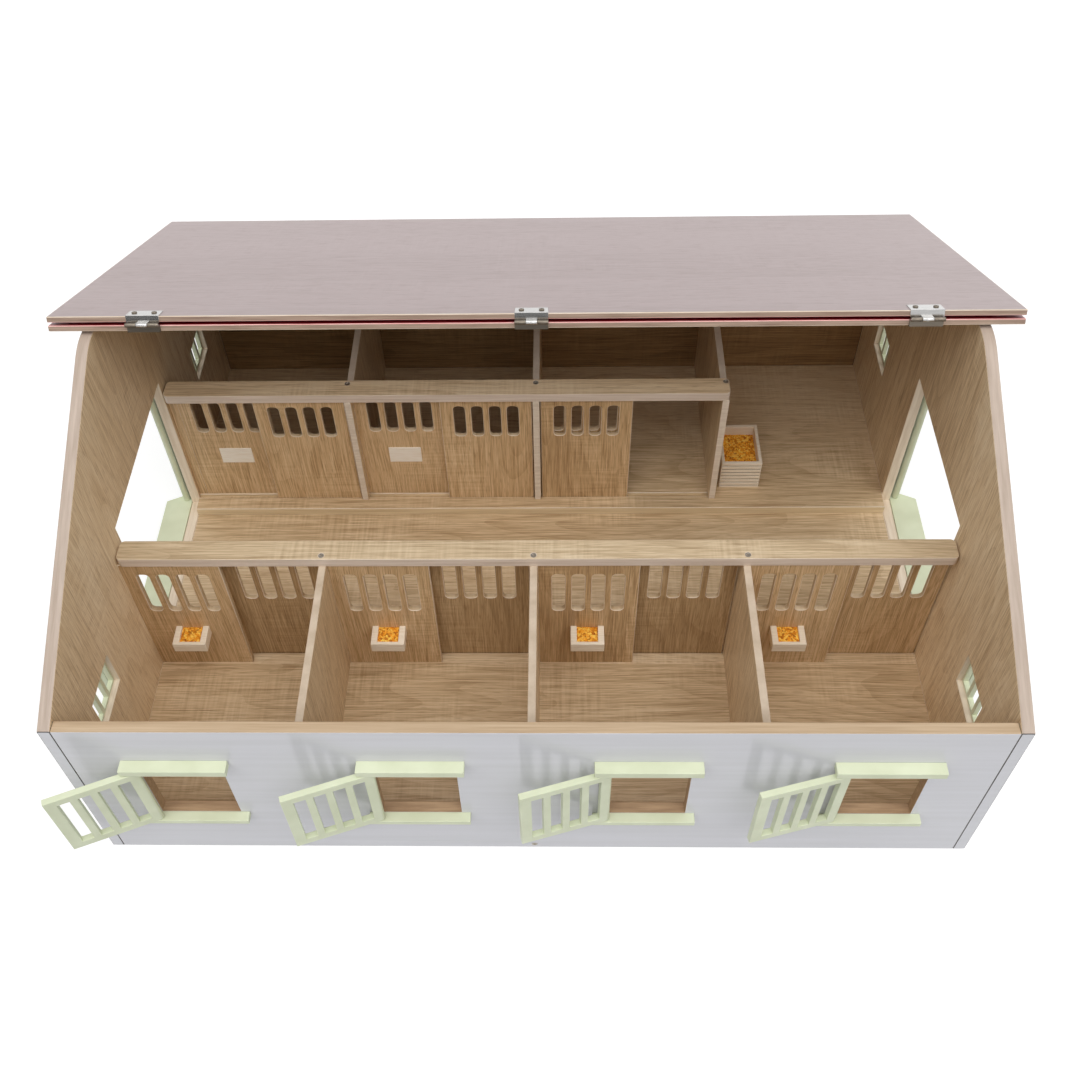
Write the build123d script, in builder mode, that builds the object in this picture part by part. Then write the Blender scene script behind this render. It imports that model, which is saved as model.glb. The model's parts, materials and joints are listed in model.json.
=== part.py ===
from build123d import *
from math import atan2, cos, degrees, radians, sin, tan
import os

# Toy barn: a stable of flat boards with a folding roof, sliding stall doors, window shutters and
# gable gates. Millimetres. +Z is up, X runs along the ridge and the front wall faces -Y. The
# origin is the middle of the underside that the barn rests on.

os.makedirs("parts", exist_ok=True)

# House shell
house_width = 680.0  # over the two gables
house_depth = 540.0  # over the front and back walls
wall = 9.0
eave_height = 183.0
roof_pitch = 24.5  # degrees
ridge_rounding = 45.0
base_thickness = 12.0
raised_floor_thickness = 9.0
raised_floor_lip = 11.0  # how far the raised floor runs out in front of the back beam

# Stalls
stall_count = 4  # across the front; the last bay of the back row is an open store
front_stall_depth = 156.0  # front wall to the front beam
back_stall_depth = 165.5  # back beam to the back wall
partition_thickness = 6.0
beam_underside = 153.5
beam_thickness = 9.0
beam_depth = 19.0
beam_end_gap = 1.5
beam_corner = 4.0
end_post_width = 8.0

# Fixed screens and sliding doors
screen_width = 81.0
screen_thickness = 5.0
door_thickness = 4.0
door_overlap = 3.0  # door over screen when the door is shut
door_end_gap = 1.0
door_setback = 3.5  # door's face behind the aisle edge of its beam
front_lane_gap = 5.2  # air between door and screen
back_lane_gap = 1.5
groove_clearance = 0.4
floor_groove_depth = 3.0
beam_groove_depth = 4.0
slot_count = 4
slot_pitch = 16.0
slot_width = 10.5
slot_corner = 4.0
front_slot_length = 50.0
back_slot_length = 38.0
front_slot_drop = 12.5  # beam's underside to the slots in the screens
back_slot_drop = 8.0
door_slot_drop = 12.6  # door's top edge to its slots

# Troughs and name plates
trough_width = 28.0
trough_depth = 19.0
trough_height = 10.5
trough_rim = 69.0  # above the ground
trough_side = 5.2
trough_front = 3.0
feed_level = 1.2  # feed below the rim
plate_width = 30.0
plate_height = 19.0
plate_thickness = 1.0
plate_centre_height = 76.5

# Feed crate in the store
crate_width = 38.0
crate_depth = 51.0
crate_height = 34.0
crate_wall = 3.0
crate_side_gap = 5.0  # to the last partition
crate_setback = 14.5  # behind the front edges of the partitions
crate_feed_level = 10.0  # feed below the rim
crate_groove_count = 7
crate_groove_pitch = 4.6
crate_groove_width = 1.4
crate_groove_depth = 0.8

# Front windows and shutters
window_pitch = 169.0
window_width = 60.0
window_bottom = 62.0
window_height = 74.5
rail_left_reach = 10.0
rail_right_reach = 7.0
head_depth = 9.5
head_height = 6.5
sill_depth = 8.0
sill_height = 5.0
shutter_reach = 66.0  # pivot to free edge
shutter_thickness = 5.0
shutter_clearance = 0.8  # above and below the shutter
shutter_stile = 8.4
shutter_rail = 7.0
shutter_bar = 5.5
shutter_bar_count = 3
shutter_offset = 5.0  # pivot line in front of the wall
shutter_openings = (158.0, 161.0, 163.5, 165.0)  # degrees open, from left to right

# Gable gates and gable windows
gate_width = 164.0
gate_height = 162.0  # above the floor
gate_board_depth = 25.0
gate_board_thickness = 9.0
gate_board_reach = 12.0  # past the opening, along the wall
gate_board_splay = 11.5  # cut off each outer corner
gate_sill_top = 13.0
leaf_thickness = 6.5
leaf_wall_gap = 2.0
leaf_clearance = 0.5
leaf_meeting_gap = 1.0
leaf_stile = 11.0
leaf_bar = 6.0
leaf_bar_count = 2
leaf_recess = 1.2
leaf_brace = 8.0
gable_window_width = 46.0
gable_window_height = 36.0
gable_window_inset = 76.5  # from the end of the gable to the middle of the window
gable_window_centre = 109.0
grille_thickness = 4.2
grille_frame = 2.0
grille_bar = 4.0
grille_bar_count = 2

# Roof and ridge hinges
roof_overhang = 22.5  # past each gable
roof_slope = 327.0  # width of each panel, ridge to eave
roof_thickness = 4.5
fold_gap = 2.4  # between the panels when folded
hinge_reach = 4.0  # hinge axis to the panels' edges
hinge_length = 25.0
hinge_spread = 290.0  # middle hinge to outer hinge
leaf_metal = 0.8
leaf_slot = 1.2  # between the two leaves of a hinge when folded
flange_width = 12.0
knuckle_radius = 1.6
knuckle_gap = 0.2
centre_knuckle = 8.2
hinge_pin_radius = 0.8

# Pivots and screws
pivot_radius = 1.5
pivot_depth = 4.0  # into the board that holds the pivot
pivot_engagement = 6.0  # into the leaf that turns on it
pivot_end_clearance = 0.3
running_clearance = 0.05
screw_radius = 1.4
screw_length = 18.0
screw_head_radius = 2.4
screw_head_height = 1.5
screw_fit = 0.02
beam_screw_inset = 4.0  # from the stall edge of the beam
base_screw_height = 5.0
roof_screw_inset = 40.0  # from each end of the panel's width
hinge_screw_radius = 1.0
hinge_screw_length = 2.8
hinge_screw_head = 2.0
hinge_screw_head_height = 0.8
screw_cross_reach = 1.3  # cross recess in a wood screw's head, from its centre
screw_cross_width = 0.7
screw_cross_depth = 1.1
hinge_cross_reach = 1.1  # the same in a hinge screw's head
hinge_cross_width = 0.5
hinge_cross_depth = 0.6
hinge_screw_spread = 7.5

# Places that follow from the sizes
bore_depth = pivot_engagement + pivot_end_clearance
inner_x = house_width / 2 - wall
front_y = -house_depth / 2
back_y = house_depth / 2
apex_height = eave_height + house_depth / 2 * tan(radians(roof_pitch))
stall_pitch = (2 * inner_x + partition_thickness) / stall_count
stall_width = stall_pitch - partition_thickness
partition_xs = [-inner_x - partition_thickness / 2 + stall_pitch * (i + 1) for i in range(stall_count - 1)]
stall_lefts = [-inner_x + stall_pitch * i for i in range(stall_count)]
door_width = stall_width - screen_width + door_overlap - door_end_gap
door_travel = stall_width - door_width - 2 * door_end_gap
raised_top = base_thickness + raised_floor_thickness
beam_top = beam_underside + beam_thickness

front_beam_start = front_y + wall + front_stall_depth
front_beam_end = front_beam_start + beam_depth
back_beam_end = back_y - wall - back_stall_depth
back_beam_start = back_beam_end - beam_depth
raised_floor_start = back_beam_start - raised_floor_lip

front_door_back = front_beam_end - door_setback
front_door_face = front_door_back - door_thickness
front_screen_back = front_door_face - front_lane_gap
back_door_face = back_beam_start + door_setback
back_door_back = back_door_face + door_thickness
back_screen_face = back_door_back + back_lane_gap
groove_width = door_thickness + 2 * groove_clearance

gate_top = base_thickness + gate_height
gate_sill_bottom = gate_sill_top - gate_board_thickness
gate_head_bottom = gate_top + 2 * leaf_clearance
leaf_bottom = gate_sill_top + leaf_clearance
leaf_top = gate_head_bottom - leaf_clearance
leaf_pivot_x = house_width / 2 + leaf_wall_gap + leaf_thickness / 2
leaf_pivot_reach = gate_width / 2 + leaf_thickness / 2  # gate middle to the pivot line
leaf_reach = leaf_pivot_reach - leaf_meeting_gap / 2  # pivot to free edge
gable_window_ys = (front_y + gable_window_inset, back_y - gable_window_inset)

window_xs = [window_pitch * (i - (stall_count - 1) / 2) for i in range(stall_count)]
window_top = window_bottom + window_height
shutter_bottom = window_bottom + shutter_clearance
shutter_top = window_top - shutter_clearance
shutter_pivot_y = front_y - shutter_offset
shutter_pivot_xs = [x - window_width / 2 for x in window_xs]

# Ridge line: u runs down the back slope from the hinge axis, v stands square to it
ridge_axis_z = apex_height + (roof_thickness + fold_gap / 2) / cos(radians(roof_pitch))
slope_down = (0, cos(radians(roof_pitch)), -sin(radians(roof_pitch)))
slope_normal = (0, sin(radians(roof_pitch)), cos(radians(roof_pitch)))
ridge_section = Plane(origin=(0, 0, ridge_axis_z), x_dir=slope_down, z_dir=(1, 0, 0))
ridge_upward = Plane(origin=(0, 0, ridge_axis_z), x_dir=(1, 0, 0), z_dir=slope_normal)
ridge_downward = Plane(origin=(0, 0, ridge_axis_z), x_dir=(-1, 0, 0), z_dir=[-n for n in slope_normal])
roof_length = house_width + 2 * roof_overhang
hinge_xs = (-hinge_spread, 0.0, hinge_spread)
panel_inner = fold_gap / 2 + roof_thickness  # hinge axis to the panels' inner faces
flange_middle = hinge_reach + flange_width / 2

# Screw axes: a plane at each head, its +Z pointing out of the wood
gable_screw_spots = [
    (y, z)
    for y in (front_y + wall / 2, back_y - wall / 2)
    for z in (eave_height * 0.25, eave_height * 0.75)
] + [(y, base_thickness / 2) for y in (front_y / 2, back_y / 2)]
screw_planes = (
    [Plane((x, front_beam_start + beam_screw_inset, beam_top)) for x in partition_xs]
    + [Plane((x, back_beam_end - beam_screw_inset, beam_top)) for x in partition_xs]
    + [Plane((0, front_y, base_screw_height), z_dir=(0, -1, 0))]
    + [Plane((0, back_y, base_screw_height), z_dir=(0, 1, 0))]
    + [
        Plane((side * house_width / 2, y, z), x_dir=(0, 1, 0), z_dir=(side, 0, 0))
        for side in (-1, 1)
        for y, z in gable_screw_spots
    ]
    + [
        Plane(
            ridge_upward.from_local_coords((side * (inner_x + wall / 2), u, -fold_gap / 2)),
            x_dir=(1, 0, 0),
            z_dir=slope_normal,
        )
        for side in (-1, 1)
        for u in (hinge_reach + roof_screw_inset, hinge_reach + roof_slope - roof_screw_inset)
    ]
)


def add_screws(planes, fit=0.0, mode=Mode.ADD):
    """Countersunk wood screws, or with a fit their holes, at the given planes."""
    for plane in planes:
        with BuildSketch(Plane(plane.origin, x_dir=plane.x_dir, z_dir=-plane.y_dir)) as half_profile:
            with BuildLine():
                Polyline(
                    (0, 0),
                    (screw_head_radius + fit, 0),
                    (screw_radius + fit, -screw_head_height),
                    (screw_radius + fit, -screw_length - fit),
                    (0, -screw_length - fit),
                    close=True,
                )
            make_face()
        revolve(half_profile.sketch, axis=Axis(plane.origin, plane.z_dir), mode=mode)


def cut_slots(middle_x, bottom, length):
    """The row of air slots in the panel being sketched."""
    with Locations((middle_x, bottom + length / 2)):
        with GridLocations(slot_pitch, 0, slot_count, 1):
            RectangleRounded(slot_width, length, slot_corner, mode=Mode.SUBTRACT)


# Base board, with the front doors' groove, and the raised floor of the back row
with BuildPart() as base_board:
    with BuildSketch():
        Rectangle(2 * inner_x, house_depth - 2 * wall)
    extrude(amount=base_thickness)
    with BuildSketch(Plane.XY.offset(base_thickness)):
        with Locations((0, front_door_face + door_thickness / 2)):
            Rectangle(2 * inner_x, groove_width)
    extrude(amount=-floor_groove_depth, mode=Mode.SUBTRACT)
    add_screws(screw_planes, screw_fit, Mode.SUBTRACT)
base_board.part.label = "base_board"
export_step(base_board.part, "parts/base_board.step")

with BuildPart() as raised_floor:
    with BuildSketch(Plane.XY.offset(base_thickness)):
        with Locations((0, raised_floor_start)):
            Rectangle(
                2 * inner_x, back_y - wall - raised_floor_start, align=(Align.CENTER, Align.MIN)
            )
    extrude(amount=raised_floor_thickness)
    with BuildSketch(Plane.XY.offset(raised_top)):
        with Locations((-inner_x, back_door_face + door_thickness / 2)):
            Rectangle(
                partition_xs[-1] + inner_x, groove_width, align=(Align.MIN, Align.CENTER)
            )
    extrude(amount=-floor_groove_depth, mode=Mode.SUBTRACT)
raised_floor.part.label = "raised_floor"
export_step(raised_floor.part, "parts/raised_floor.step")

# Gables: pitched ends with a gate opening and two small windows each
for side_name, side in (("left", -1), ("right", 1)):
    outer_face = side * house_width / 2
    inner_face = side * inner_x
    with BuildPart() as gable:
        with BuildSketch(Plane.YZ.offset(min(outer_face, inner_face))) as gable_profile:
            with BuildLine():
                Polyline(
                    (front_y, 0),
                    (back_y, 0),
                    (back_y, eave_height),
                    (0, apex_height),
                    (front_y, eave_height),
                    close=True,
                )
            make_face()
            fillet(gable_profile.vertices().sort_by(Axis.Y)[-1], ridge_rounding)
            with Locations((0, base_thickness)):
                Rectangle(
                    gate_width, gate_height, align=(Align.CENTER, Align.MIN), mode=Mode.SUBTRACT
                )
            with Locations(*[(y, gable_window_centre) for y in gable_window_ys]):
                Rectangle(gable_window_width, gable_window_height, mode=Mode.SUBTRACT)
        extrude(amount=wall)
        add_screws(screw_planes, screw_fit, Mode.SUBTRACT)
    gable.part.label = f"gable_{side_name}"
    export_step(gable.part, f"parts/{gable.part.label}.step")

# Front and back walls, between the gables
with BuildPart() as front_wall:
    with BuildSketch(Plane.XZ.offset(-front_y - wall)):
        with Locations((0, eave_height / 2)):
            Rectangle(2 * inner_x, eave_height)
        with Locations(*[(x, window_bottom + window_height / 2) for x in window_xs]):
            Rectangle(window_width, window_height, mode=Mode.SUBTRACT)
    extrude(amount=wall)
    add_screws(screw_planes, screw_fit, Mode.SUBTRACT)
front_wall.part.label = "front_wall"
export_step(front_wall.part, "parts/front_wall.step")

with BuildPart() as back_wall:
    with BuildSketch(Plane.XZ.offset(-back_y)):
        with Locations((0, eave_height / 2)):
            Rectangle(2 * inner_x, eave_height)
    extrude(amount=wall)
    add_screws(screw_planes, screw_fit, Mode.SUBTRACT)
back_wall.part.label = "back_wall"
export_step(back_wall.part, "parts/back_wall.step")

# Partitions between the stalls
partition_rows = (
    ("front", base_thickness, front_y + wall, front_beam_end),
    ("back", raised_top, back_beam_start, back_y - wall),
)
for row_name, floor_top, start, end in partition_rows:
    for number, x in enumerate(partition_xs, start=1):
        with BuildPart() as partition:
            with BuildSketch(Plane.XY.offset(floor_top)):
                with Locations((x, (start + end) / 2)):
                    Rectangle(partition_thickness, end - start)
            extrude(amount=beam_underside - floor_top)
            add_screws(screw_planes, screw_fit, Mode.SUBTRACT)
        partition.part.label = f"{row_name}_partition_{number}"
        export_step(partition.part, f"parts/{partition.part.label}.step")

# Beams that tie the partitions together and guide the doors' top edges
beam_rows = (
    ("front", front_beam_start, inner_x - beam_end_gap, front_door_face),
    ("back", back_beam_start, partition_xs[-1] + partition_thickness / 2, back_door_face),
)
for row_name, start, right_end, door_face in beam_rows:
    left_end = -inner_x + beam_end_gap
    with BuildPart() as beam:
        with BuildSketch(Plane.XY.offset(beam_underside)):
            with Locations(((left_end + right_end) / 2, start + beam_depth / 2)):
                RectangleRounded(right_end - left_end, beam_depth, beam_corner)
        extrude(amount=beam_thickness)
        with BuildSketch(Plane.XY.offset(beam_underside)):
            with Locations((0, door_face + door_thickness / 2)):
                Rectangle(house_width, groove_width)
        extrude(amount=beam_groove_depth, mode=Mode.SUBTRACT)
        add_screws(screw_planes, screw_fit, Mode.SUBTRACT)
    beam.part.label = f"{row_name}_beam"
    export_step(beam.part, f"parts/{beam.part.label}.step")

# Post between the left gable and the back row's first screen
with BuildPart() as end_post:
    with BuildSketch(Plane.XY.offset(raised_top)):
        with Locations((-inner_x, back_screen_face)):
            Rectangle(end_post_width, screen_thickness, align=(Align.MIN, Align.MIN))
    extrude(amount=beam_underside - raised_top)
end_post.part.label = "end_post"
export_step(end_post.part, "parts/end_post.step")

# Fixed screens: the left half of each stall's aisle side
screen_rows = (
    ("front", base_thickness, front_screen_back, front_slot_length, front_slot_drop, stall_count),
    (
        "back",
        raised_top,
        back_screen_face + screen_thickness,
        back_slot_length,
        back_slot_drop,
        stall_count - 1,
    ),
)
screen_middles = {}
for row_name, floor_top, screen_back, slot_length, slot_drop, count in screen_rows:
    for number in range(1, count + 1):
        post = end_post_width if (row_name, number) == ("back", 1) else 0.0
        middle = stall_lefts[number - 1] + post + screen_width / 2
        screen_middles[row_name, number] = middle
        with BuildPart() as screen:
            with BuildSketch(Plane.XZ.offset(-screen_back)):
                with Locations((middle, (floor_top + beam_underside) / 2)):
                    Rectangle(screen_width, beam_underside - floor_top)
                cut_slots(middle, beam_underside - slot_drop - slot_length, slot_length)
            extrude(amount=screen_thickness)
        screen.part.label = f"{row_name}_screen_{number}"
        export_step(screen.part, f"parts/{screen.part.label}.step")

# Sliding doors: shut at the right of each stall, except the back row's third, which is slid open
door_rows = (
    ("front", base_thickness, front_door_back, front_slot_length, stall_count),
    ("back", raised_top, back_door_back, back_slot_length, stall_count - 1),
)
for row_name, floor_top, door_back, slot_length, count in door_rows:
    for number in range(1, count + 1):
        shut_middle = stall_lefts[number - 1] + stall_width - door_end_gap - door_width / 2
        is_open = (row_name, number) == ("back", 3)
        middle = shut_middle - door_travel if is_open else shut_middle
        bottom = floor_top - floor_groove_depth + groove_clearance
        top = beam_underside + beam_groove_depth - groove_clearance
        with BuildPart() as door:
            with BuildSketch(Plane.XZ.offset(-door_back)):
                with Locations((middle, (bottom + top) / 2)):
                    Rectangle(door_width, top - bottom)
                cut_slots(middle, top - door_slot_drop - slot_length, slot_length)
            extrude(amount=door_thickness)
        door.part.label = f"{row_name}_door_{number}"
        export_step(door.part, f"parts/{door.part.label}.step")

# Feed troughs on the front screens
screen_face = front_screen_back - screen_thickness
trough_middles = [screen_middles["front", i + 1] for i in range(stall_count)]
hollow_width = trough_width - 2 * trough_side
hollow_depth = trough_depth - trough_front
with BuildPart() as feed_troughs:
    with BuildSketch(Plane.XY.offset(trough_rim - trough_height)):
        with Locations(*[(x, screen_face) for x in trough_middles]):
            Rectangle(trough_width, trough_depth, align=(Align.CENTER, Align.MAX))
    extrude(amount=trough_height)
    with BuildSketch(Plane.XY.offset(trough_rim - trough_height + trough_front)):
        with Locations(*[(x, screen_face) for x in trough_middles]):
            Rectangle(hollow_width, hollow_depth, align=(Align.CENTER, Align.MAX))
    extrude(amount=trough_height, mode=Mode.SUBTRACT)
feed_troughs.part.label = "feed_troughs"
export_step(feed_troughs.part, "parts/feed_troughs.step")

# Grooved feed crate that stands on the raised floor in the store
crate_centre = (
    partition_xs[-1] + partition_thickness / 2 + crate_side_gap + crate_width / 2,
    back_beam_start + crate_setback + crate_depth / 2,
)
crate_top = raised_top + crate_height
with BuildPart() as feed_crate:
    with BuildSketch(Plane.XY.offset(raised_top)):
        with Locations(crate_centre):
            Rectangle(crate_width, crate_depth)
    extrude(amount=crate_height)
    with BuildSketch(Plane.XY.offset(raised_top + crate_wall)):
        with Locations(crate_centre):
            Rectangle(crate_width - 2 * crate_wall, crate_depth - 2 * crate_wall)
    extrude(amount=crate_height, mode=Mode.SUBTRACT)
    for i in range(crate_groove_count):
        with BuildSketch(Plane.XY.offset(crate_top - crate_groove_pitch * (i + 1))):
            with Locations(crate_centre):
                Rectangle(crate_width, crate_depth)
                Rectangle(
                    crate_width - 2 * crate_groove_depth,
                    crate_depth - 2 * crate_groove_depth,
                    mode=Mode.SUBTRACT,
                )
        extrude(amount=crate_groove_width, mode=Mode.SUBTRACT)
feed_crate.part.label = "feed_crate"
export_step(feed_crate.part, "parts/feed_crate.step")

with BuildPart() as feed_portions:
    with BuildSketch(Plane.XY.offset(trough_rim - trough_height + trough_front)):
        with Locations(*[(x, screen_face) for x in trough_middles]):
            Rectangle(hollow_width, hollow_depth, align=(Align.CENTER, Align.MAX))
    extrude(amount=trough_height - trough_front - feed_level)
    with BuildSketch(Plane.XY.offset(raised_top + crate_wall)):
        with Locations(crate_centre):
            Rectangle(crate_width - 2 * crate_wall, crate_depth - 2 * crate_wall)
    extrude(amount=crate_height - crate_wall - crate_feed_level)
feed_portions.part.label = "feed_portions"
export_step(feed_portions.part, "parts/feed_portions.step")

# Blank name plates on the back row's screens
with BuildPart() as name_plates:
    with BuildSketch(Plane.XZ.offset(-back_screen_face)):
        plate_spots = [(screen_middles["back", i], plate_centre_height) for i in range(1, stall_count)]
        with Locations(*plate_spots):
            Rectangle(plate_width, plate_height)
    extrude(amount=plate_thickness)
name_plates.part.label = "name_plates"
export_step(name_plates.part, "parts/name_plates.step")

# Window heads and sills, which hold the shutters' pivots
rail_length = rail_left_reach + window_width + rail_right_reach
rail_rows = (
    ("window_heads", window_top, head_height, head_depth, pivot_depth),
    ("window_sills", window_bottom, -sill_height, sill_depth, -pivot_depth),
)
for label, level, height, depth, bore in rail_rows:
    with BuildPart() as rails:
        with BuildSketch(Plane.XY.offset(level)):
            with Locations(*[(x - rail_left_reach, front_y) for x in shutter_pivot_xs]):
                Rectangle(rail_length, depth, align=(Align.MIN, Align.MAX))
        extrude(amount=height)
        with BuildSketch(Plane.XY.offset(level)):
            with Locations(*[(x, shutter_pivot_y) for x in shutter_pivot_xs]):
                Circle(pivot_radius + screw_fit)
        extrude(amount=bore, mode=Mode.SUBTRACT)
    rails.part.label = label
    export_step(rails.part, f"parts/{label}.step")

with BuildPart() as shutter_pins:
    for level, up, down in (
        (window_top, pivot_depth, pivot_engagement + shutter_clearance),
        (window_bottom, pivot_engagement + shutter_clearance, pivot_depth),
    ):
        with BuildSketch(Plane.XY.offset(level - down)):
            with Locations(*[(x, shutter_pivot_y) for x in shutter_pivot_xs]):
                Circle(pivot_radius)
        extrude(amount=up + down)
shutter_pins.part.label = "shutter_pins"
export_step(shutter_pins.part, "parts/shutter_pins.step")

# Shutters: barred frames with a round pivot edge, each standing open by its own angle
shutter_height = shutter_top - shutter_bottom
shutter_span = shutter_reach + shutter_thickness / 2
shutter_middle = (shutter_reach - shutter_thickness / 2) / 2  # pivot to the middle of the shutter
shutter_gap = (
    shutter_span - 2 * shutter_stile - shutter_bar_count * shutter_bar
) / (shutter_bar_count + 1)
for number, (pivot_x, opening) in enumerate(zip(shutter_pivot_xs, shutter_openings), start=1):
    shutter_plane = Plane(
        origin=(pivot_x, shutter_pivot_y, shutter_bottom),
        x_dir=(cos(radians(opening)), -sin(radians(opening)), 0),
        z_dir=(0, 0, 1),
    )
    with BuildPart() as shutter:
        with BuildSketch(shutter_plane):
            Circle(shutter_thickness / 2)
            Rectangle(shutter_reach, shutter_thickness, align=(Align.MIN, Align.CENTER))
        extrude(amount=shutter_height)
        with BuildSketch(shutter_plane.offset(shutter_rail)):
            with Locations((shutter_middle, 0)):
                with GridLocations(shutter_gap + shutter_bar, 0, shutter_bar_count + 1, 1):
                    Rectangle(shutter_gap, 2 * shutter_thickness)
        extrude(amount=shutter_height - 2 * shutter_rail, mode=Mode.SUBTRACT)
        for level, depth in ((0, bore_depth), (shutter_height, -bore_depth)):
            with BuildSketch(shutter_plane.offset(level)):
                Circle(pivot_radius + running_clearance)
            extrude(amount=depth, mode=Mode.SUBTRACT)
    shutter.part.label = f"shutter_{number}"
    export_step(shutter.part, f"parts/{shutter.part.label}.step")

# Gate sills and heads: splayed boards outside each gable, with the gate leaves' pivots
leaf_pivot_ys = (-leaf_pivot_reach, leaf_pivot_reach)
for side_name, side in (("left", -1), ("right", 1)):
    wall_face = side * house_width / 2
    for board_name, bottom, bore_level, bore in (
        ("gate_sill", gate_sill_bottom, gate_sill_top, -pivot_depth),
        ("gate_head", gate_head_bottom, gate_head_bottom, pivot_depth),
    ):
        half_length = gate_width / 2 + gate_board_reach
        with BuildPart() as board:
            with BuildSketch(Plane.XY.offset(bottom)):
                with BuildLine():
                    Polyline(
                        (wall_face, -half_length),
                        (wall_face, half_length),
                        (
                            wall_face + side * gate_board_depth,
                            half_length - gate_board_splay,
                        ),
                        (
                            wall_face + side * gate_board_depth,
                            gate_board_splay - half_length,
                        ),
                        close=True,
                    )
                make_face()
            extrude(amount=gate_board_thickness)
            with BuildSketch(Plane.XY.offset(bore_level)):
                with Locations(*[(side * leaf_pivot_x, y) for y in leaf_pivot_ys]):
                    Circle(pivot_radius + screw_fit)
            extrude(amount=bore, mode=Mode.SUBTRACT)
        board.part.label = f"{board_name}_{side_name}"
        export_step(board.part, f"parts/{board.part.label}.step")

with BuildPart() as gate_pins:
    for level, up, down in (
        (gate_head_bottom, pivot_depth, pivot_engagement + leaf_clearance),
        (gate_sill_top, pivot_engagement + leaf_clearance, pivot_depth),
    ):
        with BuildSketch(Plane.XY.offset(level - down)):
            with Locations(*[(side * leaf_pivot_x, y) for side in (-1, 1) for y in leaf_pivot_ys]):
                Circle(pivot_radius)
        extrude(amount=up + down)
gate_pins.part.label = "gate_pins"
export_step(gate_pins.part, "parts/gate_pins.step")

# Gate leaves: barred above and cross-braced below, folded back flat against the gables
leaf_height = leaf_top - leaf_bottom
leaf_span = leaf_reach + leaf_thickness / 2
leaf_middle = (leaf_reach - leaf_thickness / 2) / 2  # pivot to the middle of the leaf
leaf_panel_width = leaf_span - 2 * leaf_stile
leaf_panel_height = (leaf_height - 3 * leaf_stile) / 2
leaf_gap = (leaf_panel_width - leaf_bar_count * leaf_bar) / (leaf_bar_count + 1)
brace_length = (leaf_panel_width**2 + leaf_panel_height**2) ** 0.5
brace_angle = degrees(atan2(leaf_panel_height, leaf_panel_width))
for side_name, side in (("left", -1), ("right", 1)):
    for end_name, pivot_y, outward in (("front", leaf_pivot_ys[0], -1), ("rear", leaf_pivot_ys[1], 1)):
        leaf_plane = Plane(
            origin=(side * leaf_pivot_x, pivot_y, leaf_bottom), x_dir=(0, outward, 0), z_dir=(0, 0, 1)
        )
        with BuildPart() as leaf:
            with BuildSketch(leaf_plane):
                Circle(leaf_thickness / 2)
                Rectangle(leaf_reach, leaf_thickness, align=(Align.MIN, Align.CENTER))
            extrude(amount=leaf_height)
            with BuildSketch(leaf_plane.offset(2 * leaf_stile + leaf_panel_height)):
                with Locations((leaf_middle, 0)):
                    with GridLocations(leaf_gap + leaf_bar, 0, leaf_bar_count + 1, 1):
                        Rectangle(leaf_gap, 2 * leaf_thickness)
            extrude(amount=leaf_panel_height, mode=Mode.SUBTRACT)
            for face in (-1, 1):
                face_plane = Plane(
                    origin=(side * leaf_pivot_x + face * leaf_thickness / 2, pivot_y, leaf_bottom),
                    x_dir=(0, face, 0),
                    z_dir=(face, 0, 0),
                )
                with BuildSketch(face_plane):
                    with Locations((face * outward * leaf_middle, leaf_stile + leaf_panel_height / 2)):
                        Rectangle(leaf_panel_width, leaf_panel_height)
                        for turn in (brace_angle, -brace_angle):
                            Rectangle(brace_length, leaf_brace, rotation=turn, mode=Mode.SUBTRACT)
                extrude(amount=-leaf_recess, mode=Mode.SUBTRACT)
            for level, depth in ((0, bore_depth), (leaf_height, -bore_depth)):
                with BuildSketch(leaf_plane.offset(level)):
                    Circle(pivot_radius + running_clearance)
                extrude(amount=depth, mode=Mode.SUBTRACT)
        leaf.part.label = f"gate_leaf_{side_name}_{end_name}"
        export_step(leaf.part, f"parts/{leaf.part.label}.step")

# Barred grilles let into the gable windows, flush with the outside
grille_clear_width = gable_window_width - 2 * grille_frame - grille_bar_count * grille_bar
grille_gap = grille_clear_width / (grille_bar_count + 1)
for side_name, side in (("left", -1), ("right", 1)):
    with BuildPart() as grilles:
        with BuildSketch(Plane.YZ.offset(side * house_width / 2)):
            with Locations(*[(y, gable_window_centre) for y in gable_window_ys]):
                Rectangle(gable_window_width, gable_window_height)
                with GridLocations(grille_gap + grille_bar, 0, grille_bar_count + 1, 1):
                    Rectangle(grille_gap, gable_window_height - 2 * grille_frame, mode=Mode.SUBTRACT)
        extrude(amount=-side * grille_thickness)
    grilles.part.label = f"window_grilles_{side_name}"
    export_step(grilles.part, f"parts/{grilles.part.label}.step")

# Roof panels: the back one on the gables, the front one folded over onto it
with BuildPart() as roof_back_panel:
    with BuildSketch(ridge_section.offset(-roof_length / 2)):
        with Locations((hinge_reach, -panel_inner)):
            Rectangle(roof_slope, roof_thickness, align=(Align.MIN, Align.MIN))
    extrude(amount=roof_length)
    add_screws(screw_planes, screw_fit, Mode.SUBTRACT)
    with BuildSketch(ridge_downward.offset(panel_inner)):
        with Locations(
            *[(-x + s * hinge_screw_spread, flange_middle) for x in hinge_xs for s in (-1, 1)]
        ):
            Circle(hinge_screw_radius + screw_fit)
    extrude(amount=-hinge_screw_length, mode=Mode.SUBTRACT)
roof_back_panel.part.label = "roof_back_panel"
export_step(roof_back_panel.part, "parts/roof_back_panel.step")

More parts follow.
